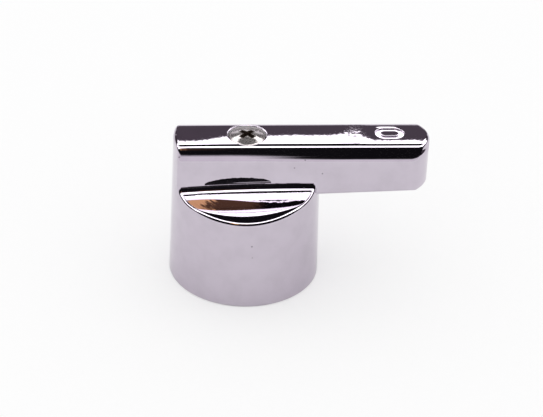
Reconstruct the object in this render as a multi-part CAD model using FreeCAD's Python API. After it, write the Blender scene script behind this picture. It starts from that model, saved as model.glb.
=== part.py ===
"""Replacement tap handle: a hollow chrome-plated casting with a side lever, held on by one screw.

Millimetres, +Z up. The origin is on the spindle axis in the plane of the skirt's lower rim.
+X runs along the lever, and the side seen in the photograph faces -Y.
"""
import FreeCAD, Part
import math
import os

Vector = FreeCAD.Vector

# Outer casting
skirt_radius = 20.0
skirt_draft = 1.05
handle_height = 40.95
bar_half_width = 7.0
bar_top_round = 2.6
bar_inset = 0.01
lever_reach = 47.9
lever_nose_bulge = 3.7
lever_under_height = 25.7
lever_under_rise = 0.038
lever_under_round = 1.2
edge_round = 1.15
inner_corner_round = 0.6
rim_chamfer = 0.3

# Half-moon shoulders on both sides of the bar
shoulder_height = 30.65
shoulder_root_round = 1.9
shoulder_root_tilt = 28.5
shoulder_cove_radius = 11.5
shoulder_cove_tilt = 7.3
shoulder_crown_radius = 29.0
shoulder_bow_radius = 405.0
shoulder_high_place = 12.0

# Hollow underside
skirt_wall = 2.6
rim_bore_length = 4.0
ceiling_wall = 2.6
cavity_corner_round = 1.5
boss_end_height = 9.0
boss_wall = 2.8
boss_draft = 1.5

# Spindle socket inside the boss
tooth_count = 20
tooth_outer_radius = 4.0
tooth_depth = 0.35
pilot_clearance = 0.3
pilot_length = 2.5
socket_length = 12.0

# Screw and its seat
thread_radius = 2.5
thread_length = 20.0
thread_tip = 0.8
screw_hole_clearance = 0.2
head_radius = 4.7
head_height = 3.7
head_edge_height = 2.8
head_edge_round = 0.4
head_proud = 0.4
seat_clearance = 0.3
seat_edge_round = 0.35
cross_width = 1.2
cross_span = 4.5
cross_depth = 2.5
cross_floor_width = 0.6
cross_floor_span = 2.2
cross_turn = 45.0

# Plain index recess near the lever's tip
index_from_tip = 10.5
index_offset = 0.4
index_length = 7.5
index_width = 5.2
index_depth = 0.45
index_border = 1.3
index_edge_round = 0.25

# Room left round cutting tools
spare = 12.0

# Sizes that follow from the ones above
lever_nose_radius = (bar_half_width ** 2 + lever_nose_bulge ** 2) / (2 * lever_nose_bulge)
rim_bore_radius = skirt_radius - skirt_wall
pilot_radius = tooth_outer_radius + pilot_clearance
boss_end_radius = tooth_outer_radius + boss_wall
socket_top = boss_end_height + socket_length
screw_hole_radius = thread_radius + screw_hole_clearance
seat_radius = head_radius + seat_clearance
seat_height = handle_height + head_proud - head_height
index_x = lever_reach - index_from_tip


def slope(degrees):
    return math.tan(math.radians(degrees))


def skirt_radius_at(z):
    return skirt_radius - z * slope(skirt_draft)


def swing(start, radius, first_tilt, last_tilt, hollow):
    """Middle and end of an arc of the shoulder's section, as (distance from the bar's side, height)."""
    way = -1 if hollow else 1
    first = math.radians(first_tilt)

    def at(tilt):
        last = math.radians(tilt)
        out = way * radius * (math.sin(last) - math.sin(first))
        drop = way * radius * (math.cos(first) - math.cos(last))
        return start[0] + out, start[1] - drop

    return at((first_tilt + last_tilt) / 2), at(last_tilt)


def shoulder_section(reach):
    """The shoulder's section from the end of the bar's side out to a reach: root, cove and crown."""
    wall_end = (0.0, shoulder_height)
    root = swing(wall_end, shoulder_root_round, 90.0, shoulder_root_tilt, True)
    cove = swing(root[1], shoulder_cove_radius, shoulder_root_tilt, shoulder_cove_tilt, True)
    lean = math.sin(math.radians(shoulder_cove_tilt)) + (reach - cove[1][0]) / shoulder_crown_radius
    end_tilt = math.degrees(math.asin(lean))
    crown = swing(cove[1], shoulder_crown_radius, shoulder_cove_tilt, end_tilt, False)
    return wall_end, root, cove, crown


def ceiling_height():
    """The hollow's ceiling, below the shoulder's lowest edge at the front and back."""
    crown = shoulder_section(skirt_radius - bar_half_width)[3]
    low_place = shoulder_high_place + skirt_radius / 2
    bow = low_place ** 2 / (2 * shoulder_bow_radius)
    return crown[1][1] - bow - ceiling_wall


def polygon_face(points):
    return Part.Face(Part.makePolygon(points + [points[0]]))


def line(start, end):
    return Part.LineSegment(start, end).toShape()


def arc(start, middle, end):
    return Part.Arc(start, middle, end).toShape()


def mirrored(shape):
    """The same shape on the other side of the lever's middle plane."""
    return shape.mirror(Vector(0, 0, 0), Vector(0, 1, 0))


def revolved(points):
    """A solid turned about Z from a closed outline of (radius, height) points."""
    outline = [Vector(radius, 0, height) for radius, height in points]
    return polygon_face(outline).revolve(Vector(0, 0, 0), Vector(0, 0, 1), 360)


def drum_blank():
    top = handle_height - bar_inset
    return Part.makeCone(skirt_radius, skirt_radius_at(top), top)


def shoulder_cutter():
    """Takes away the metal above the front shoulder, along a path that is bowed a little upwards."""
    side = bar_inset - bar_half_width
    top = handle_height + spare
    outside = -skirt_radius - spare
    wall_end, root, cove, crown = shoulder_section(skirt_radius + 1 - bar_half_width)

    def at(y, z):
        return Vector(shoulder_high_place, y, z)

    def on_section(point):
        return at(side - point[0], point[1])

    wall_top = at(side, top)
    crown_end = on_section(crown[1])
    corner_low = at(outside, crown_end.z)
    corner_high = at(outside, top)
    edges = [
        line(wall_top, on_section(wall_end)),
        arc(on_section(wall_end), on_section(root[0]), on_section(root[1])),
        arc(on_section(root[1]), on_section(cove[0]), on_section(cove[1])),
        arc(on_section(cove[1]), on_section(crown[0]), crown_end),
        line(crown_end, corner_low),
        line(corner_low, corner_high),
        line(corner_high, wall_top),
    ]
    face = Part.Face(Part.Wire(edges))
    centre = Vector(shoulder_high_place, 0, shoulder_height - shoulder_bow_radius)
    axis = Vector(0, 1, 0)
    reach = skirt_radius + spare + shoulder_high_place
    sweep = math.degrees(reach / shoulder_bow_radius)
    face.rotate(centre, axis, -sweep)
    return face.revolve(centre, axis, 2 * sweep)


def edge_cutter(half_width, z_edge, radius, downwards, rise, start_x, end_x):
    """Rounds a long edge of the bar on its front side; the edge can rise along X."""
    way = -1 if downwards else 1
    base = z_edge + rise * start_x
    side = -half_width

    def at(y, z):
        return Vector(start_x, y, z)

    on_side = at(side, base + way * radius)
    on_face = at(side + radius, base)
    turn = radius * (1 - math.sqrt(0.5))
    middle = at(side + turn, base + way * turn)
    edges = [
        arc(on_side, middle, on_face),
        line(on_face, at(side + radius, base - way)),
        line(at(side + radius, base - way), at(side - 1, base - way)),
        line(at(side - 1, base - way), at(side - 1, base + way * radius)),
        line(at(side - 1, base + way * radius), on_side),
    ]
    run = end_x - start_x
    return Part.Face(Part.Wire(edges)).extrude(Vector(run, 0, run * rise))


def points_on(edge):
    """Points spread along an edge; none for one that has no length."""
    if edge.Degenerated or edge.Length < 0.001:
        return []
    return edge.discretize(7)


def with_both_sides(cutter):
    return [cutter, mirrored(cutter)]


def top_edge_cutters(inset, start_x, end_x):
    """Rounds both top edges of a bar that lies this far inside the finished one."""
    cutter = edge_cutter(
        bar_half_width - inset,
        handle_height - inset,
        bar_top_round - inset,
        True,
        0.0,
        start_x,
        end_x,
    )
    return with_both_sides(cutter)


def on_skirt(point, gap):
    return abs(math.hypot(point.x, point.y) - skirt_radius_at(point.z)) < gap


def edges_where(shape, test):
    """The shape's edges whose points all pass a test."""
    found = []
    for edge in shape.Edges:
        points = points_on(edge)
        if points and all(test(point) for point in points):
            found.append(edge)
    return found


def drum():
    """The skirt, both shoulders and the bar's core, with one round all along their edge."""
    shape = drum_blank().cut(with_both_sides(shoulder_cutter()))
    shape = shape.cut(top_edge_cutters(bar_inset, -skirt_radius - spare, skirt_radius + spare))
    shape = shape.removeSplitter()

    def on_edge(point):
        return on_skirt(point, 0.002) and point.z > rim_bore_length

    return shape.makeFillet(edge_round, edges_where(shape, on_edge))


def bar_start():
    """Where the bar begins, just inside the round at the drum's far end."""
    top_radius = skirt_radius_at(handle_height)
    return 2 * edge_round - math.sqrt(top_radius ** 2 - bar_half_width ** 2)


def lever():
    """The bar from the drum's far end over the spindle axis and out to its rounded nose."""
    low = lever_under_height - spare
    height = handle_height - low
    first_x = bar_start()
    start_x = first_x - spare
    end_x = lever_reach + spare
    nose_x = lever_reach - lever_nose_radius
    corner = Vector(first_x, -bar_half_width, low)
    blank = Part.makeBox(lever_reach - first_x, 2 * bar_half_width, height, corner)
    nose = Part.makeCylinder(lever_nose_radius, height, Vector(nose_x, 0, low))
    shank = Part.makeBox(nose_x - first_x, 2 * bar_half_width, height, corner)
    under = polygon_face(
        [
            Vector(start_x, -skirt_radius, low - spare),
            Vector(end_x, -skirt_radius, low - spare),
            Vector(end_x, -skirt_radius, lever_under_height + lever_under_rise * end_x),
            Vector(start_x, -skirt_radius, lever_under_height + lever_under_rise * start_x),
        ]
    ).extrude(Vector(0, 2 * skirt_radius, 0))
    under_edge = edge_cutter(
        bar_half_width,
        lever_under_height,
        lever_under_round,
        False,
        lever_under_rise,
        start_x,
        end_x,
    )
    shape = blank.cut([under])
    shape = shape.cut(top_edge_cutters(0.0, start_x, end_x) + with_both_sides(under_edge))
    shape = shape.common(shank.fuse(nose).removeSplitter()).removeSplitter()

    def on_nose(point):
        tip = abs(math.hypot(point.x - nose_x, point.y) - lever_nose_radius) < 0.002
        return tip and point.x > nose_x

    return shape.makeFillet(edge_round, edges_where(shape, on_nose))


def cavity():
    """The hollow of the skirt round the boss, open at the rim."""
    ceiling = ceiling_height()
    boss_root_radius = boss_end_radius + (ceiling - boss_end_height) * slope(boss_draft)
    hollow = revolved(
        [
            (0, -spare),
            (rim_bore_radius, -spare),
            (rim_bore_radius, rim_bore_length),
            (skirt_radius_at(ceiling) - skirt_wall, ceiling),
            (boss_root_radius, ceiling),
            (boss_end_radius, boss_end_height),
            (0, boss_end_height),
        ]
    )

    def at_ceiling(point):
        return abs(point.z - ceiling) < 0.001 and math.hypot(point.x, point.y) > 1

    return hollow.makeFillet(cavity_corner_round, edges_where(hollow, at_ceiling))


def serrated_socket():
    """The toothed hole that grips the spindle."""
    points = []
    for step in range(2 * tooth_count):
        angle = math.pi * step / tooth_count
        radius = tooth_outer_radius - (step % 2) * tooth_depth
        points.append(Vector(radius * math.cos(angle), radius * math.sin(angle), boss_end_height))
    return polygon_face(points).extrude(Vector(0, 0, socket_length))


def obround(length, width, bottom, height):
    """A flat-ended slot shape lying along X over the index place."""
    half = (length - width) / 2
    block = Part.makeBox(
        2 * half, width, height, Vector(index_x - half, index_offset - width / 2, bottom)
    )
    ends = [
        Part.makeCylinder(width / 2, height, Vector(index_x + side * half, index_offset, bottom))
        for side in (-1, 1)
    ]
    return block.fuse(ends).removeSplitter()


def index_recess():
    """A shallow plain recess with a flush plain island in the middle of it."""
    floor = handle_height - index_depth
    recess = obround(index_length, index_width, floor, spare)
    island_length = index_length - 2 * index_border
    island_width = index_width - 2 * index_border
    return recess.cut(obround(island_length, island_width, floor - spare, 3 * spare))


def round_index_edges(shape):
    def at_index(point):
        beside = abs(point.x - index_x) < index_length / 2 + 0.01
        within = abs(point.y - index_offset) < index_width / 2 + 0.01
        return beside and within and abs(point.z - handle_height) < 0.001

    return shape.makeFillet(index_edge_round, edges_where(shape, at_index))


def screw_seat():
    hole = Part.makeCylinder(
        screw_hole_radius, handle_height - boss_end_height, Vector(0, 0, boss_end_height)
    )
    seat = Part.makeCylinder(seat_radius, handle_height, Vector(0, 0, seat_height))
    return hole, seat


def round_seat_edge(shape):
    def at_mouth(point):
        wall = abs(math.hypot(point.x, point.y) - seat_radius) < 0.002
        return wall and point.z > (handle_height + seat_height) / 2

    return shape.makeFillet(seat_edge_round, edges_where(shape, at_mouth))


def round_lever_root(shape):
    """The small inside round where the lever's underside and sides run out of the skirt."""
    low = lever_under_height

    def at_root(point):
        beside = point.x > 0 and abs(point.y) < bar_half_width + 0.01
        return beside and on_skirt(point, 0.01) and point.z > low

    return shape.makeFillet(inner_corner_round, edges_where(shape, at_root))


def chamfer_rim(shape):
    def at_rim(point):
        return abs(point.z) < 0.001 and on_skirt(point, 0.002)

    return shape.makeChamfer(rim_chamfer, edges_where(shape, at_rim))


def handle_body():
    shape = drum().fuse(lever()).removeSplitter()
    shape = round_lever_root(shape)
    shape = chamfer_rim(shape)
    hole, seat = screw_seat()
    pilot = Part.makeCylinder(pilot_radius, pilot_length, Vector(0, 0, boss_end_height))
    shape = shape.cut([cavity()])
    shape = shape.cut([seat])
    shape = round_seat_edge(shape)
    shape = round_index_edges(shape.cut([index_recess()]))
    return shape.cut([pilot, serrated_socket(), hole]).removeSplitter()


def rectangle(length, width, z):
    points = [
        Vector(-length / 2, -width / 2, z),
        Vector(length / 2, -width / 2, z),
        Vector(length / 2, width / 2, z),
        Vector(-length / 2, width / 2, z),
    ]
    return Part.makePolygon(points + [points[0]])


def cross_recess(top):
    """The tapered cross that takes the screwdriver."""
    arm = Part.makeLoft(
        [
            rectangle(cross_floor_span, cross_floor_width, top - cross_depth),
            rectangle(cross_span, cross_width, top),
        ],
        True,
        True,
    )
    axis = Vector(0, 0, 1)
    centre = Vector(0, 0, 0)
    arms = [arm.copy(), arm.copy()]
    arms[0].rotate(centre, axis, cross_turn)
    arms[1].rotate(centre, axis, cross_turn + 90)
    return arms


def handle_screw():
    """Pan-head screw that pulls the handle down on the spindle."""
    top = seat_height + head_height
    tip = seat_height - thread_length
    edge = seat_height + head_edge_height
    crown = head_height - head_edge_height
    inner = head_radius - head_edge_round
    turn = head_edge_round * (1 - math.sqrt(0.5))

    def at(radius, z):
        return Vector(radius, 0, z)

    outline = [
        line(at(0, tip), at(thread_radius - thread_tip, tip)),
        line(at(thread_radius - thread_tip, tip), at(thread_radius, tip + thread_tip)),
        line(at(thread_radius, tip + thread_tip), at(thread_radius, seat_height)),
        line(at(thread_radius, seat_height), at(head_radius, seat_height)),
        line(at(head_radius, seat_height), at(head_radius, edge - head_edge_round)),
        arc(
            at(head_radius, edge - head_edge_round),
            at(head_radius - turn, edge - turn),
            at(inner, edge),
        ),
        arc(at(inner, edge), at(inner / 2, top - crown / 4), at(0, top)),
        line(at(0, top), at(0, tip)),
    ]
    face = Part.Face(Part.Wire(outline))
    body = face.revolve(Vector(0, 0, 0), Vector(0, 0, 1), 360)
    return body.cut(cross_recess(top)).removeSplitter()


def main():
    os.makedirs("parts", exist_ok=True)
    handle_body().exportStep("parts/handle_body.step")
    handle_screw().exportStep("parts/handle_screw.step")


main()
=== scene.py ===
"""Looks of the tap handle: mirror chrome on the casting, bright steel on the screw, in a white studio.

Metres, in the frame of the solids: +Z up along the spindle axis, +X along the lever.
The materials work in millimetres and degrees. In the values below, a step is where a smooth change
starts and ends, and then the values before and after it where they aren't 0 and 1. A span is a start,
an end and how soft both are. A border is a place and how soft it is.
"""
import math
import bpy
from mathutils import Matrix, Vector


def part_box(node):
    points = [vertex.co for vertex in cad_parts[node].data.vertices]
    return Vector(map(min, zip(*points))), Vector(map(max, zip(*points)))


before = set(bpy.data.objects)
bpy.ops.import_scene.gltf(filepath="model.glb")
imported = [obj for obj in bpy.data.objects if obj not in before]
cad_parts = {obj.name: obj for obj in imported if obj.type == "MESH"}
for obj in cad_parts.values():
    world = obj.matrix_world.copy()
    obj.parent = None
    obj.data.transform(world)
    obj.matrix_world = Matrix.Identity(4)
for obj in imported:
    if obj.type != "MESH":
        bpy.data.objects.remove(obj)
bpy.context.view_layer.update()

# Camera, fitted to the photograph's frame of 543 by 417 pixels
image_width = 543
focal_pixels = 2182.0
sensor_width = 36.0
nearest_seen = 0.01
camera_azimuth = math.radians(-4.702)
camera_elevation = math.radians(32.865)
camera_roll = math.radians(2.194)
camera_distance = 0.58181
camera_target = Vector((0.0071, 0.0, 0.01793))

# Floor, and the shading of the solids' faces
floor_reach = 4.0
floor_drop = 0.00005
weld_reach = 0.000015
sharp_angle = math.radians(35.0)
area_weight = 50

# Main sizes of the casting and the screw, in millimetres from here on
millimetres_in_a_metre = 1000.0
bar_top = millimetres_in_a_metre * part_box("handle_body")[1].z
bar_half_width = 7.0
skirt_radius = 20.0
skirt_taper = 0.01833
head_top = millimetres_in_a_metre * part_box("handle_screw")[1].z
head_dome = 10.72

# Top of the bar: steps of its lean along the bar, and how it ends at the rounded edges
top_leans = (
    (-15.0, -3.0, 0.2, 2.7),
    (5.0, 9.0, 0.0, 0.4),
    (20.0, 28.0, 0.0, 1.0),
    (28.0, 33.5, 0.0, -4.0),
)
top_height = (bar_top - 3.0, bar_top - 1.0)
top_flat = (0.93, 0.985)
top_upright = (0.5, 0.98)
edge_lean = 3.0
edge_band_start = (0.82, 0.9)
edge_band_end = (0.92, 0.98)
edge_band_lean = 5.5

# Scuff on the bar's top, and the lip and the floor of the index recess
scuff_span = (26.0, 31.0, 2.0)
scuff_height = (bar_top - 1.0, bar_top)
scuff_fineness = 1.3
scuff_lean = 12.0
scuff_rough = 0.1
polish_lean = 2.0
lip_along = (33.0, 40.5, 3.0)
lip_across = (2.8, 4.1, 0.7)
lip_lean = 9.5
recess_along = (32.5, 42.5, 0.5)
recess_floor = (bar_top - 0.42, bar_top - 0.3, 7.0, 0.0)

# Worn upper side edges of the bar: steps along it of the lean and of the depths where it starts and ends
worn_across = (bar_half_width - 1.6, bar_half_width - 0.8)
worn_nose = (43.5, 45.0)
worn_lean = (-6.0, 26.0, 20.5, 25.0)
worn_nose_gain = (43.0, 46.5, 1.0, 1.25)
worn_start = (42.5, 45.5, 1.2, 0.55)
worn_full = (42.5, 45.5, 2.8, 1.7)
worn_end = (42.5, 46.5, 6.0, 4.4)

# Foot of the bar's front and back walls, with the lens ground into it
wall_across = (bar_half_width - 0.1, bar_half_width - 0.05)
wall_upright = (0.12, 0.3)
wall_above = (-0.4, -0.3)
foot_lean = 10.0
foot_fade = 2.2
foot_ends = (16.5, 18.5)
lens_middle = -2.5
lens_half = 8.8
lens_height = 1.75
lens_fineness = 0.9
lens_ragged = 0.6
lens_border = (0.0, 0.12)
lens_ends = (0.05, 0.2)
gap_above = (0.13, 0.19, 0.06)
gap_along = (-5.0, 1.0)
gap_share = 0.6

# Section of the shoulders
shoulder_height = 30.65
shoulder_high_place = 12.0
shoulder_bow_radius = 405.0
root_round = 1.9
root_tilt = 28.5
root_steepest = 66.0
root_fill = 7.0
root_fill_start = (0.5, 0.65)
root_fill_end = (0.85, 1.1)
cove_radius = 11.5
cove_tilt = 7.3
rim_tilt = 14.2
crown_middle = -0.3
crown_reach = 9.85
crown_narrowing = 0.019
crown_least_run = 0.8
crown_power = 2.6

# The shoulders' hollow: where it ends out from the wall, its lean, and how fast that falls off there
hollow_borders = ((-12.0, 8.0, 3.0, 4.5), (8.0, 14.0, 0.0, -0.5))
hollow_ragged = (-4.0, 4.0, 0.0, 1.1)
hollow_fineness = 1.5
hollow_tilt = (-16.8, -14.8, 12.5, 18.3)
hollow_fall = 9.0

# How the shoulders round off along the bar, with polishing streaks that run aslant
pillow_middle = 6.0
pillow_rate = 0.5
pillow_most = 9.2
pillow_start = (-15.5, -12.5, 2.8, 0.5)
pillow_soft = 0.7
streak_lean = (-12.0, 2.0, 8.0, 3.0)
streak_fineness = 1.6
streak_slant = 0.9
streak_run = 1.1
streak_stretch = 0.12

# Where the shoulders' smooth form applies: inside the rim, facing up, out from the wall and in this height
inside_rim = (0.45, 0.8)
shoulder_upright = (0.03, 0.12)
shoulder_out = (0.0, 0.05)
shoulder_low = (23.0, 24.0)
shoulder_top = (shoulder_height - 0.3, shoulder_height + 0.1)

# Plating: how fine its patterns are per millimetre, and how strong
sway_fineness = 0.095
sway_lean = 0.01
line_fineness = (5.2, 5.2, 0.42)
line_share = 0.6
grain_fineness = 2.6
chrome_bump = 0.018
bump_distance = 0.0001
cloud_fineness = 0.22
cloud_step = (0.35, 0.75)
cloud_shade = 0.94
chrome_rough = (0.3, 0.8, 0.025, 0.06)

# Small pits in the plating, as places and their radius
pits = (
    ((0.79, -19.64, 18.9), 0.34),
    ((0.98, -19.69, 15.43), 0.2),
    ((14.8, -7.0, 37.33), 0.26),
    ((12.11, -7.0, 34.96), 0.26),
    ((19.49, -7.0, 33.18), 0.3),
)
pit_core = 0.4
pit_share = 0.75
pit_shade = 0.3

# The screw's seat, which is paler and duller than the plate
seat_radius = (5.2, 5.3)
seat_height = (bar_top - 0.5, bar_top - 0.35)
seat_dullness = 0.8
seat_rough = 0.4

# The screw's head: flanks round the cross, grain, and painted shade in the cross and on the head beside it
flank_start = (0.3, 0.9, 0.0, 0.16)
flank_end = (2.8, 4.2)
flank_upright = (0.8, 0.9)
steel_fineness = 3.2
steel_bump = 0.1
steel_step = (0.3, 0.7)
steel_shade = 0.8
steel_rough = (0.25, 0.75, 0.12, 0.22)
steel_metal = 0.8
# Painted shade in the cross recess and on the head beside it, which also makes the metal duller and rougher
# there
cross_shade_depth = (0.06, 0.3)
cross_shade_radius = (2.6, 3.0)
cross_shade_half = 0.85
cross_shade_reach = 2.45
cross_shade_soft = 0.1
cross_shade_height = (head_top - 4.0, head_top - 3.5)
cross_shade_dullness = 0.6
cross_shade_rough = 0.4

# Studio, as angles over the zenith from the far horizon to the near one
backdrop_foot = (14.0, 4.0)
panel_over = (38.5, 112.0, 1.2)
slot_over = (61.3, 86.3, 1.0)
near_start = (112.0, 2.0)
near_end = (167.0, 3.0)
warm_top = (131.0, 4.0)

# Studio, as angles to the side
panel_side = (62.0, 3.0)
slot_side = (48.0, 2.0)
backdrop_side = (17.0, 3.0)
warm_span = (-13.5, 1.2, 2.0)
tan_end = (-9.6, -7.6)

# Light levels, where 1 is white
white = (1.0, 1.0, 1.0)
even_level = 1.0
panel_level = 3.2
room_dark = (0.007, 0.0065, 0.008)
room_brown = (0.19, 0.10, 0.055)
room_tan = (1.6, 0.95, 0.42)
backdrop_dark = (0.10, 0.082, 0.10)
side_dark = (0.06, 0.05, 0.06)
far_pale = (0.92, 0.90, 0.94)
near_pale = (0.92, 0.89, 0.93)
shadow_left = 0.55

# Surface colours
chrome_colour = (0.595, 0.54, 0.615)
seat_colour = (0.80, 0.78, 0.80)
steel_colour = (0.54, 0.50, 0.495)
# Colour of the painted shade in and beside the screw's cross
painted_cross_shade_colour = (0.022, 0.011, 0.006)
paper_colour = (0.965, 0.965, 0.97)
fibre_colour = (0.99, 0.99, 0.99)
fibre_fineness = 0.9


class Tree:
    """Short words for the nodes of one material or world."""

    def __init__(self, owner):
        owner.use_nodes = True
        self.tree = owner.node_tree
        self.tree.nodes.clear()

    def node(self, kind, **settings):
        made = self.tree.nodes.new(kind)
        for name, value in settings.items():
            setattr(made, name, value)
        return made

    def put(self, value, socket):
        """Links a socket, or sets a plain value."""
        if isinstance(value, bpy.types.NodeSocket):
            self.tree.links.new(value, socket)
        else:
            socket.default_value = value

    def math(self, operation, first, second=0.0, third=0.0):
        made = self.node("ShaderNodeMath", operation=operation)
        for value, socket in zip((first, second, third), made.inputs):
            self.put(value, socket)
        return made.outputs[0]

    def times(self, first, *others):
        for other in others:
            first = self.math("MULTIPLY", first, other)
        return first

    def plus(self, first, *others):
        for other in others:
            first = self.math("ADD", first, other)
        return first

    def minus(self, first, second):
        return self.math("SUBTRACT", first, second)

    def most(self, first, second):
        return self.math("MAXIMUM", first, second)

    def least(self, first, second):
        return self.math("MINIMUM", first, second)

    def size(self, value):
        return self.math("ABSOLUTE", value)

    def line(self, value, factor, start):
        """A start, and from there the value times a factor."""
        return self.math("MULTIPLY_ADD", value, factor, start)

    def radians(self, degrees):
        return self.math("RADIANS", degrees)

    def slope(self, degrees):
        """The tangent of a lean."""
        return self.math("TANGENT", self.radians(degrees))

    def vector(self, operation, first, second=(0.0, 0.0, 0.0), scale=1.0):
        made = self.node("ShaderNodeVectorMath", operation=operation)
        self.put(first, made.inputs[0])
        self.put(second, made.inputs[1])
        if operation == "SCALE":
            self.put(scale, made.inputs["Scale"])
        if operation in ("LENGTH", "DISTANCE"):
            return made.outputs["Value"]
        return made.outputs[0]

    def split(self, vector):
        made = self.node("ShaderNodeSeparateXYZ")
        self.put(vector, made.inputs[0])
        return made.outputs[0], made.outputs[1], made.outputs[2]

    def join(self, x, y, z):
        made = self.node("ShaderNodeCombineXYZ")
        for value, socket in zip((x, y, z), made.inputs):
            self.put(value, socket)
        return made.outputs[0]

    def rise(self, value, start, end, low=0.0, high=1.0):
        """A smooth step from low to high as the value goes from start to end."""
        made = self.node("ShaderNodeMapRange", interpolation_type="SMOOTHSTEP")
        for given, socket in zip((value, start, end, low, high), made.inputs):
            self.put(given, socket)
        return made.outputs[0]

    def fall(self, value, start, end):
        """A smooth step from 1 to 0 as the value goes from start to end."""
        return self.rise(value, start, end, 1.0, 0.0)

    def after(self, value, border, soft):
        """0 before a border and 1 after it."""
        return self.rise(value, border - soft, border + soft)

    def before(self, value, border, soft):
        """1 before a border and 0 after it."""
        return self.fall(value, border - soft, border + soft)

    def between(self, value, start, end, soft):
        """1 inside a span and 0 outside it."""
        return self.times(self.after(value, start, soft), self.before(value, end, soft))

    def mix(self, share, first, second):
        made = self.node("ShaderNodeMix", data_type="RGBA")
        self.put(share, made.inputs["Factor"])
        colours = [socket for socket in made.inputs if socket.type == "RGBA"]
        for value, socket in zip((first, second), colours):
            if isinstance(value, tuple):
                value = (*value, 1.0)
            self.put(value, socket)
        return [socket for socket in made.outputs if socket.type == "RGBA"][0]

    def noise(self, place, fineness, detail=3.0, output="Fac"):
        made = self.node("ShaderNodeTexNoise")
        self.put(place, made.inputs["Vector"])
        self.put(fineness, made.inputs["Scale"])
        self.put(detail, made.inputs["Detail"])
        return made.outputs[output]

    def ragged(self, place, fineness, detail=3.0):
        """Noise to both sides of zero."""
        return self.plus(self.noise(place, fineness, detail), -0.5)

    def place(self):
        """The point on the object, in millimetres."""
        metres = self.node("ShaderNodeTexCoord").outputs["Object"]
        return self.vector("SCALE", metres, scale=millimetres_in_a_metre)

    def normal(self):
        return self.node("ShaderNodeNewGeometry").outputs["Normal"]

    def outwards(self, place):
        """The way from the spindle axis to a place."""
        x, y, z = self.split(place)
        return self.join(x, y, 0.0)

    def bump(self, strength, height, normal):
        made = self.node("ShaderNodeBump")
        self.put(strength, made.inputs["Strength"])
        self.put(bump_distance, made.inputs["Distance"])
        self.put(height, made.inputs["Height"])
        self.put(normal, made.inputs["Normal"])
        return made.outputs[0]

    def metal(self, colour, share, rough, normal):
        """A shader that is metal by the given share."""
        made = self.node("ShaderNodeBsdfPrincipled")
        self.put(colour, made.inputs["Base Color"])
        self.put(share, made.inputs["Metallic"])
        self.put(rough, made.inputs["Roughness"])
        self.put(normal, made.inputs["Normal"])
        return made.outputs[0]

    def finish(self, shader, output="ShaderNodeOutputMaterial"):
        end = self.node(output)
        self.tree.links.new(shader, end.inputs["Surface"])


def shaded(colour, share):
    return tuple(share * part for part in colour)


def casting_sway(tree, place):
    """Slow unevenness of the hand-polished faces."""
    uneven = tree.noise(place, sway_fineness, detail=1.0, output="Color")
    return tree.vector("SCALE", tree.vector("SUBTRACT", uneven, (0.5, 0.5, 0.5)), scale=sway_lean)


def lean_along_top(tree, place, along):
    """Lean of the bar's top in degrees along its length, uneven where it is scuffed."""
    lean = tree.plus(*[tree.rise(along, *step) for step in top_leans])
    uneven = tree.line(tree.between(along, *scuff_span), scuff_lean, polish_lean)
    return tree.plus(lean, tree.times(tree.ragged(place, scuff_fineness), uneven))


def lean_at_recess(tree, x, y, z):
    """Lean in degrees of the lip behind the index recess and of the recess's floor."""
    lip = tree.times(tree.between(x, *lip_along), tree.between(y, *lip_across), lip_lean)
    floor = tree.times(tree.rise(z, *recess_floor), tree.between(x, *recess_along))
    return tree.plus(lip, floor)


def crown_of_the_top(tree, place, normal):
    """How the polished top of the bar leans: a little round across, and uneven along its length."""
    x, y, z = tree.split(place)
    upright = tree.split(normal)[2]
    lean = tree.plus(lean_along_top(tree, place, x), lean_at_recess(tree, x, y, z), -edge_lean)
    lean = tree.plus(tree.times(lean, tree.rise(upright, *top_flat)), edge_lean)
    tilt = tree.times(tree.minus(lean, y), tree.rise(upright, *top_upright))
    edge_band = tree.times(tree.rise(upright, *edge_band_start), tree.fall(upright, *edge_band_end))
    flattened = tree.times(edge_band, tree.math("SIGN", y), edge_band_lean)
    tilt = tree.times(tree.radians(tree.plus(tilt, flattened)), tree.rise(z, *top_height))
    return tree.join(0.0, tree.times(tilt, -1.0), 0.0)


def worn_top_edge(tree, place):
    """Polishing has taken the bar's upper side edges down further, most along the lever and at its nose."""
    x, y, z = tree.split(place)
    depth = tree.minus(bar_top, z)
    outside = tree.most(tree.rise(tree.size(y), *worn_across), tree.rise(x, *worn_nose))
    lean = tree.times(tree.rise(x, *worn_lean), tree.rise(x, *worn_nose_gain), outside)
    start = tree.rise(x, *worn_start)
    full = tree.rise(x, *worn_full)
    end = tree.rise(x, *worn_end)
    lean = tree.times(lean, tree.rise(depth, start, full), tree.fall(depth, full, end))
    return tree.join(0.0, 0.0, tree.slope(lean))


def drop_below_root(tree, along, height):
    """How far a place lies below the upper end of the shoulder's root, which bows along the bar."""
    from_high = tree.plus(along, -shoulder_high_place)
    bow = tree.times(from_high, from_high, 0.5 / shoulder_bow_radius)
    return tree.minus(shoulder_height, tree.plus(height, bow))


def ground_lens(tree, place, along, above):
    """Slope of the lens at the wall's foot: an arch with a ragged edge and a gap low down in it."""
    share = tree.times(tree.plus(along, -lens_middle), 1.0 / lens_half)
    arch = tree.minus(1.0, tree.times(share, share))
    arch = tree.math("SQRT", tree.most(arch, 0.0))
    uneven = tree.noise(place, lens_fineness)
    reach = tree.times(arch, tree.line(uneven, lens_ragged, lens_height - lens_ragged / 2))
    low = tree.before(tree.minus(above, reach), *lens_border)
    gap = tree.times(tree.between(above, *gap_above), tree.rise(along, *gap_along), -gap_share)
    lift = 1.0 / math.tan(math.radians(root_steepest))
    return tree.times(low, tree.rise(arch, *lens_ends), tree.plus(gap, 1.0), lift)


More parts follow.
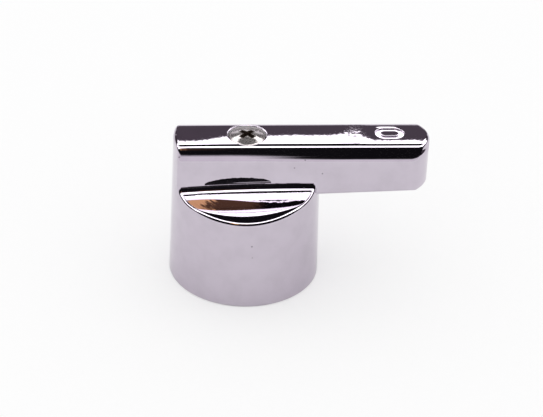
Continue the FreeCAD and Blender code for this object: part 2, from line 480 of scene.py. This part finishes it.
def ground_root(tree, place, normal):
    """The foot of the bar's wall leans a little, with a lens where polishing has run in to the root."""
    x, y, z = tree.split(place)
    above = tree.times(drop_below_root(tree, x, z), -1.0)
    lens = ground_lens(tree, place, x, above)
    foot = tree.slope(tree.most(tree.line(above, -foot_fade, foot_lean), 0.0))
    foot = tree.times(foot, tree.fall(tree.size(x), *foot_ends))
    on_wall = tree.times(
        tree.rise(tree.size(y), *wall_across),
        tree.fall(tree.split(normal)[2], *wall_upright),
        tree.rise(above, *wall_above),
    )
    return tree.join(0.0, 0.0, tree.times(on_wall, tree.most(lens, foot)))


def crown_lean(tree, along, out, start):
    """Lean of the shoulders' outer part in degrees: slow at first, then falling off to the rim."""
    off_middle = tree.plus(along, -crown_middle)
    run = tree.line(tree.times(off_middle, off_middle), -crown_narrowing, crown_reach - start)
    run = tree.most(run, crown_least_run)
    share = tree.math("DIVIDE", tree.minus(out, start), run)
    share = tree.math("POWER", tree.most(share, 0.0), crown_power)
    return tree.line(share, rim_tilt - cove_tilt, cove_tilt)


def hollow_lean(tree, place, along, out):
    """Lean in degrees that the cove keeps before it flattens, which is further out on the lever's side."""
    border = tree.plus(*[tree.rise(along, *step) for step in hollow_borders])
    uneven = tree.times(tree.ragged(place, hollow_fineness), tree.rise(along, *hollow_ragged))
    past = tree.most(tree.minus(out, tree.plus(border, uneven)), 0.0)
    return tree.line(past, -hollow_fall, tree.rise(along, *hollow_tilt))


def shoulder_lean(tree, place, along, out, height):
    """How far the shoulder leans outwards at a place on it, in radians: root, cove, crown and hollow."""
    root_sine = math.sin(math.radians(root_tilt))
    root_cosine = math.cos(math.radians(root_tilt))
    cove_sine = math.sin(math.radians(cove_tilt))
    root_out = root_round * (1.0 - root_sine)
    cove_out = root_out + cove_radius * (root_sine - cove_sine)
    centre_out = root_out + cove_radius * root_sine
    centre_rise = (cove_radius - root_round) * root_cosine
    drop = drop_below_root(tree, along, height)
    root = tree.math("ARCTAN2", tree.minus(root_round, out), drop)
    filled = tree.times(tree.rise(root, *root_fill_start), tree.fall(root, *root_fill_end))
    root = tree.line(filled, math.radians(root_fill), root)
    root = tree.least(root, math.radians(root_steepest))
    cove = tree.math("ARCTAN2", tree.minus(centre_out, out), tree.plus(drop, centre_rise))
    crown = tree.radians(crown_lean(tree, along, out, cove_out))
    hollow = tree.radians(hollow_lean(tree, place, along, out))
    return tree.most(tree.most(tree.most(root, cove), crown), hollow)


def shoulder_pillow(tree, x, y, out):
    """Lean of the shoulders along the bar in radians, streaky, and fading in out from the wall."""
    across_streaks = tree.plus(x, tree.times(y, streak_slant))
    along_streaks = tree.times(tree.plus(x, tree.times(y, -streak_run)), streak_stretch)
    streaks = tree.ragged(tree.join(across_streaks, along_streaks, 0.0), streak_fineness, detail=2.0)
    lean = tree.times(tree.plus(x, -pillow_middle), pillow_rate)
    lean = tree.plus(lean, tree.times(streaks, tree.rise(x, *streak_lean)))
    lean = tree.most(lean, -pillow_most)
    start = tree.rise(x, *pillow_start)
    full = tree.plus(start, pillow_soft)
    return tree.times(tree.radians(lean), tree.rise(out, start, full))


def shoulder_form(tree, place, normal):
    """The shoulders' smooth form inside their rim, rounded a little along the bar too."""
    x, y, z = tree.split(place)
    out = tree.minus(tree.size(y), bar_half_width)
    lean = shoulder_lean(tree, place, x, out, z)
    forward = tree.times(tree.math("SIGN", y), tree.math("SINE", lean))
    pillow = shoulder_pillow(tree, x, y, out)
    form = tree.vector("NORMALIZE", tree.join(pillow, forward, tree.math("COSINE", lean)))
    from_axis = tree.vector("LENGTH", tree.outwards(place))
    skirt = tree.line(z, -skirt_taper, skirt_radius)
    share = tree.times(
        tree.rise(tree.minus(skirt, from_axis), *inside_rim),
        tree.rise(tree.split(normal)[2], *shoulder_upright),
        tree.fall(z, *shoulder_top),
        tree.rise(out, *shoulder_out),
        tree.rise(z, *shoulder_low),
    )
    change = tree.vector("SCALE", tree.vector("SUBTRACT", form, normal), scale=share)
    return tree.vector("ADD", normal, change)


def polished_normal(tree, place, normal):
    """The casting's polished form, with a fine grain and polishing lines."""
    fields = (
        casting_sway(tree, place),
        crown_of_the_top(tree, place, normal),
        worn_top_edge(tree, place),
        ground_root(tree, place, normal),
    )
    leaning = shoulder_form(tree, place, normal)
    for field in fields:
        leaning = tree.vector("ADD", leaning, field)
    lines = tree.noise(tree.vector("MULTIPLY", place, line_fineness), fineness=1.0, detail=2.0)
    grain = tree.noise(place, grain_fineness, detail=2.0)
    height = tree.line(lines, line_share, grain)
    return tree.bump(chrome_bump, height, tree.vector("NORMALIZE", leaning))


def pitted(tree, place):
    """1 in the few small pits of the plating."""
    found = 0.0
    for middle, radius in pits:
        away = tree.vector("DISTANCE", place, middle)
        found = tree.most(found, tree.fall(away, pit_core * radius, radius))
    return found


def screw_seat(tree, place):
    """1 in the round seat under the screw's head."""
    height = tree.split(place)[2]
    from_axis = tree.vector("LENGTH", tree.outwards(place))
    return tree.times(tree.fall(from_axis, *seat_radius), tree.fall(height, *seat_height))


def scuffed(tree, place):
    """How much rougher the scuffed part of the bar's top is than the rest."""
    x, y, z = tree.split(place)
    return tree.times(tree.between(x, *scuff_span), tree.rise(z, *scuff_height), scuff_rough)


def chrome():
    """Mirror plate over a hand-polished casting, a little cloudy, with small pits and a dull screw seat."""
    made = bpy.data.materials.new("chrome_plate")
    tree = Tree(made)
    place = tree.place()
    clouds = tree.noise(place, cloud_fineness)
    seat = screw_seat(tree, place)
    colour = tree.mix(tree.rise(clouds, *cloud_step), chrome_colour, shaded(chrome_colour, cloud_shade))
    pit = tree.times(pitted(tree, place), pit_share)
    colour = tree.mix(pit, colour, shaded(chrome_colour, pit_shade))
    colour = tree.mix(seat, colour, seat_colour)
    rough = tree.plus(tree.rise(clouds, *chrome_rough), scuffed(tree, place), tree.times(seat, seat_rough))
    share = tree.line(seat, -seat_dullness, 1.0)
    normal = polished_normal(tree, place, tree.normal())
    tree.finish(tree.metal(colour, share, rough, normal))
    return made


def painted_cross_shade(tree, place):
    """1 where shade is painted on the screw: in its cross, and on the head close beside it, so that the
    cross looks dark and bigger.
    """
    x, y, z = tree.split(place)
    from_axis = tree.vector("LENGTH", tree.outwards(place))
    dome = tree.times(from_axis, from_axis, 0.5 / head_dome)
    depth = tree.minus(head_top, tree.plus(z, dome))
    inside = tree.times(tree.rise(depth, *cross_shade_depth), tree.fall(from_axis, *cross_shade_radius))
    one_arm = tree.size(tree.times(tree.plus(x, y), math.sqrt(0.5)))
    other_arm = tree.size(tree.times(tree.minus(x, y), math.sqrt(0.5)))
    beside = tree.fall(tree.least(one_arm, other_arm), cross_shade_half - cross_shade_soft, cross_shade_half)
    ends = tree.fall(tree.most(one_arm, other_arm), cross_shade_reach - cross_shade_soft, cross_shade_reach)
    return tree.most(inside, tree.times(beside, ends, tree.rise(z, *cross_shade_height)))


def head_form(tree, place, normal):
    """The screw head's form, which slopes more round the cross than a plain dome."""
    outwards = tree.outwards(place)
    from_axis = tree.vector("LENGTH", outwards)
    facing_up = tree.rise(tree.split(normal)[2], *flank_upright)
    cone = tree.times(tree.rise(from_axis, *flank_start), facing_up, tree.fall(from_axis, *flank_end))
    flank = tree.vector("SCALE", tree.vector("NORMALIZE", outwards), scale=cone)
    return tree.vector("NORMALIZE", tree.vector("ADD", normal, flank))


def steel():
    """Bright plated steel, finely rough, with painted shade, dark and dull, in and beside the cross."""
    made = bpy.data.materials.new("screw_steel")
    tree = Tree(made)
    place = tree.place()
    cross_shade = painted_cross_shade(tree, place)
    grain = tree.noise(place, steel_fineness)
    plate = tree.mix(tree.rise(grain, *steel_step), steel_colour, shaded(steel_colour, steel_shade))
    # Painted shade: the cross and the head beside it are coloured dark
    colour = tree.mix(cross_shade, plate, painted_cross_shade_colour)
    rough = tree.plus(tree.rise(grain, *steel_rough), tree.times(cross_shade, cross_shade_rough))
    share = tree.line(cross_shade, -cross_shade_dullness, steel_metal)
    normal = tree.bump(steel_bump, grain, head_form(tree, place, tree.normal()))
    tree.finish(tree.metal(colour, share, rough, normal))
    return made


def paper():
    """The floor: matt white paper that keeps a light shadow of the object."""
    made = bpy.data.materials.new("floor_paper")
    tree = Tree(made)
    fibre = tree.noise(tree.place(), fibre_fineness)
    matt = tree.node("ShaderNodeBsdfDiffuse")
    tree.put(tree.mix(fibre, paper_colour, fibre_colour), matt.inputs["Color"])
    glow = tree.node("ShaderNodeEmission")
    tree.put(even_level, glow.inputs["Strength"])
    seen = tree.node("ShaderNodeLightPath").outputs["Is Camera Ray"]
    blend = tree.node("ShaderNodeMixShader")
    tree.put(tree.times(seen, 1.0 - shadow_left), blend.inputs[0])
    tree.put(matt.outputs[0], blend.inputs[1])
    tree.put(glow.outputs[0], blend.inputs[2])
    tree.finish(blend.outputs[0])
    return made


def smooth_shading(node):
    """Joins the solid's faces for shading, so that reflections run on over the blends."""
    weld = node.modifiers.new("weld", "WELD")
    weld.merge_threshold = weld_reach
    for polygon in node.data.polygons:
        polygon.use_smooth = True
    split = node.modifiers.new("sharp_edges", "EDGE_SPLIT")
    split.split_angle = sharp_angle
    weighted = node.modifiers.new("weighted_normals", "WEIGHTED_NORMAL")
    weighted.mode = "FACE_AREA_WITH_ANGLE"
    weighted.weight = area_weight
    weighted.keep_sharp = True


def dress(name, material):
    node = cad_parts[name]
    node.data.materials.clear()
    node.data.materials.append(material)
    smooth_shading(node)


def make_floor():
    mesh = bpy.data.meshes.new("floor")
    signs = ((-1, -1), (1, -1), (1, 1), (-1, 1))
    corners = [(floor_reach * x, floor_reach * y, 0.0) for x, y in signs]
    mesh.from_pydata(corners, [], [(0, 1, 2, 3)])
    floor = bpy.data.objects.new("floor", mesh)
    floor.location.z = -floor_drop
    mesh.materials.append(paper())
    bpy.context.scene.collection.objects.link(floor)


def room_colour(tree, over, side):
    """The room round the panel: a dark backdrop, a dark near side with a warm part, and pale below both."""
    warm = tree.mix(tree.fall(side, *tan_end), room_brown, room_tan)
    lit = tree.times(tree.between(side, *warm_span), tree.before(over, *warm_top))
    near = tree.mix(lit, room_dark, warm)
    backdrop = tree.mix(tree.after(tree.size(side), *backdrop_side), backdrop_dark, side_dark)
    colour = tree.mix(tree.after(over, *backdrop_foot), far_pale, backdrop)
    colour = tree.mix(tree.after(over, *near_start), colour, near)
    return tree.mix(tree.after(over, *near_end), colour, near_pale)


def make_studio():
    """Even white light, and overhead a bright panel with a dark slot in it for the metal to mirror."""
    world = bpy.data.worlds.new("studio")
    bpy.context.scene.world = world
    tree = Tree(world)
    x, y, z = tree.split(tree.node("ShaderNodeTexCoord").outputs["Generated"])
    over = tree.math("DEGREES", tree.math("ARCTAN2", z, y))
    side = tree.math("DEGREES", tree.math("ARCSINE", x))
    wide = tree.size(side)
    panel = tree.times(tree.between(over, *panel_over), tree.before(wide, *panel_side))
    slot = tree.times(tree.between(over, *slot_over), tree.before(wide, *slot_side))
    lit = tree.mix(panel, room_colour(tree, over, side), shaded(white, panel_level))
    mirrored = tree.mix(slot, lit, room_dark)
    glossy = tree.node("ShaderNodeLightPath").outputs["Is Glossy Ray"]
    shader = tree.node("ShaderNodeBackground")
    tree.put(tree.mix(glossy, shaded(white, even_level), mirrored), shader.inputs["Color"])
    tree.finish(shader.outputs[0], "ShaderNodeOutputWorld")


def make_camera():
    data = bpy.data.cameras.new("camera")
    data.sensor_width = sensor_width
    data.lens = focal_pixels / image_width * sensor_width
    data.clip_start = nearest_seen
    camera = bpy.data.objects.new("camera", data)
    level = math.cos(camera_elevation)
    back = Vector(
        (
            math.sin(camera_azimuth) * level,
            -math.cos(camera_azimuth) * level,
            math.sin(camera_elevation),
        )
    )
    right = Vector((math.cos(camera_azimuth), math.sin(camera_azimuth), 0.0))
    up = back.cross(right)
    turned_right = right * math.cos(camera_roll) + up * math.sin(camera_roll)
    turned_up = up * math.cos(camera_roll) - right * math.sin(camera_roll)
    turn = Matrix((turned_right, turned_up, back)).transposed()
    spot = camera_target + back * camera_distance
    camera.matrix_world = Matrix.Translation(spot) @ turn.to_4x4()
    bpy.context.scene.collection.objects.link(camera)
    bpy.context.scene.camera = camera


dress("handle_body", chrome())
dress("handle_screw", steel())
make_floor()
make_studio()
make_camera()
bpy.context.scene.view_settings.view_transform = "Standard"
